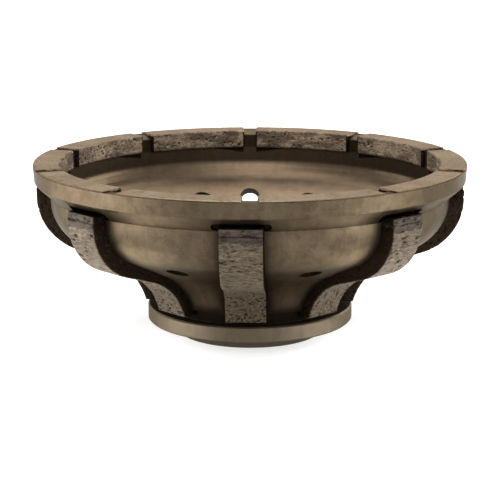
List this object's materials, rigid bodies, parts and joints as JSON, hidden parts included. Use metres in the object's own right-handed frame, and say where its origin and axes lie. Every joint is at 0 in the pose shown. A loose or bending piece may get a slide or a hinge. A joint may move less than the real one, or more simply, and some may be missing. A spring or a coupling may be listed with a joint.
{
  "type": "stone profiling wheel",
  "caption": "Cup-shaped grinding wheel with rim segments and ogee strips for shaping the edge of stone slabs.",
  "frame": {"origin": "centre of the flat bottom face of the small end, on the wheel's axis", "axes": "+Z along the axis from the small end to the open rim; -Y is the side with the middle strip"},
  "size_m": [0.125, 0.125, 0.0507],
  "materials": {
    "body_steel": "satin, bronze-brown tint",
    "rim_matrix": "sintered, pitted",
    "strip_matrix": "sintered, pitted"
  },
  "bodies": {
    "root": {"wheel_body": "body_steel", "rim_segment_01": "rim_matrix", "rim_segment_02": "rim_matrix", "rim_segment_03": "rim_matrix", "rim_segment_04": "rim_matrix", "rim_segment_05": "rim_matrix", "rim_segment_06": "rim_matrix", "rim_segment_07": "rim_matrix", "rim_segment_08": "rim_matrix", "rim_segment_09": "rim_matrix", "rim_segment_10": "rim_matrix", "profile_strip_1": "strip_matrix", "profile_strip_2": "strip_matrix", "profile_strip_3": "strip_matrix", "profile_strip_4": "strip_matrix", "profile_strip_5": "strip_matrix", "profile_strip_6": "strip_matrix", "profile_strip_7": "strip_matrix", "profile_strip_8": "strip_matrix"}
  },
  "joints": []
}
